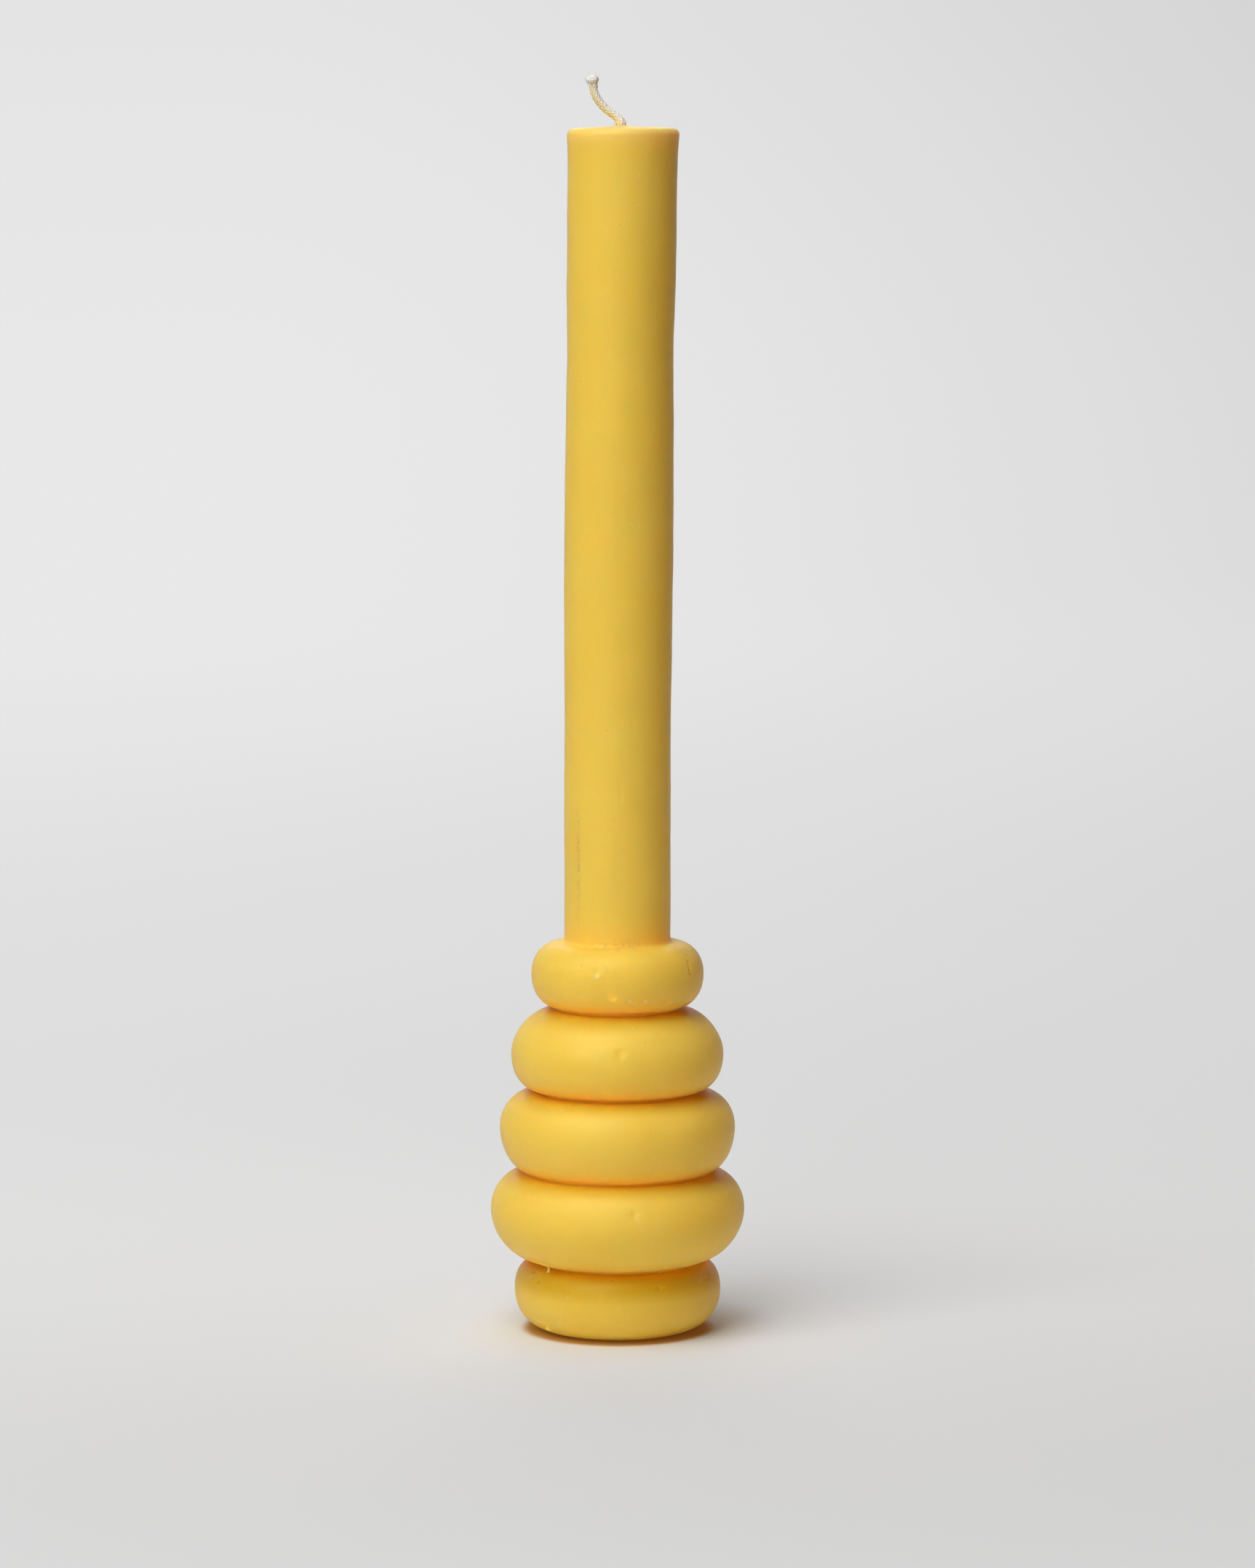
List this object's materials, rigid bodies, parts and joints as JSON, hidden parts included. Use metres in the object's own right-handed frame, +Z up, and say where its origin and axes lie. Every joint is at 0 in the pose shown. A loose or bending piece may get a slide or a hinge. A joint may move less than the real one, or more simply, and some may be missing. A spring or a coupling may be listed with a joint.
{
  "type": "candle",
  "caption": "Tall moulded wax candle: a slim, slightly bowed column on a base of stacked rounded rings, with a cotton wick bent over at its tip.",
  "frame": {"origin": "on the table, on the shared axis of the five base rings", "axes": "+Z up the column, +X to the right of the pictured side, +Y away from the pictured side"},
  "size_m": [0.06, 0.06, 0.2956],
  "materials": {
    "wax": "warm yellow wax, satin, slightly translucent",
    "cotton": "waxed braided cotton, frayed and off-white at the tip"
  },
  "bodies": {
    "root": {"wax_body": "wax", "wick": "cotton"}
  },
  "joints": []
}
